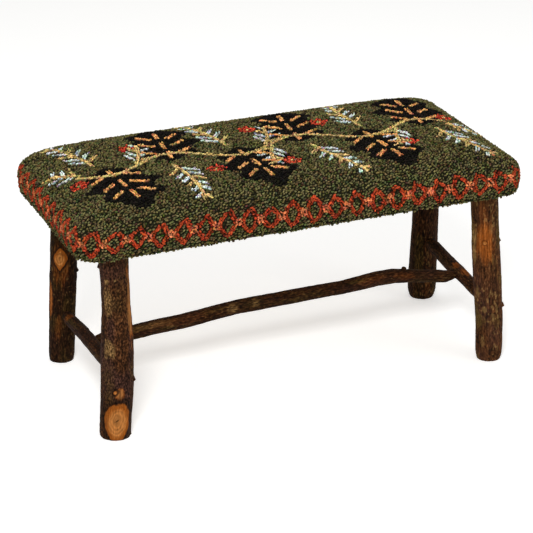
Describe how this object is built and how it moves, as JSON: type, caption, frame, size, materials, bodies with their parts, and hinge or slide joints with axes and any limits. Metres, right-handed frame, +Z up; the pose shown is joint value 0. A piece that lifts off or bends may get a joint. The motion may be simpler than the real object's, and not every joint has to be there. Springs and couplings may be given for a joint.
{
  "type": "upholstered bench",
  "caption": "Low rustic bench: bark-on pole legs joined by an H of thinner poles, under a long crowned seat covered in hooked wool with a diamond-chain border.",
  "frame": {"origin": "on the floor, under the middle of the seat's outline", "axes": "+X along the bench to the right as seen from the front, +Y from front to back, +Z up"},
  "size_m": [0.813, 0.382, 0.4119],
  "materials": {
    "bark_pole": "bark, satin varnish",
    "seat_board": "bare plywood",
    "wedge_wood": "bare hardwood",
    "foam": "open foam",
    "batting": "matte fibre",
    "backing_cloth": "plain weave",
    "wool": "looped wool pile",
    "staple_steel": "bright wire"
  },
  "bodies": {
    "root": {"leg_front_left": "bark_pole", "leg_front_right": "bark_pole", "leg_back_left": "bark_pole", "leg_back_right": "bark_pole", "side_stretcher_left": "bark_pole", "side_stretcher_right": "bark_pole", "center_stretcher": "bark_pole", "seat_board": "seat_board", "tenon_wedges": "wedge_wood", "seat_foam": "foam", "seat_batting": "batting", "backing_cloth": "backing_cloth", "wool_pile": "wool", "cover_staples": "staple_steel"}
  },
  "joints": []
}
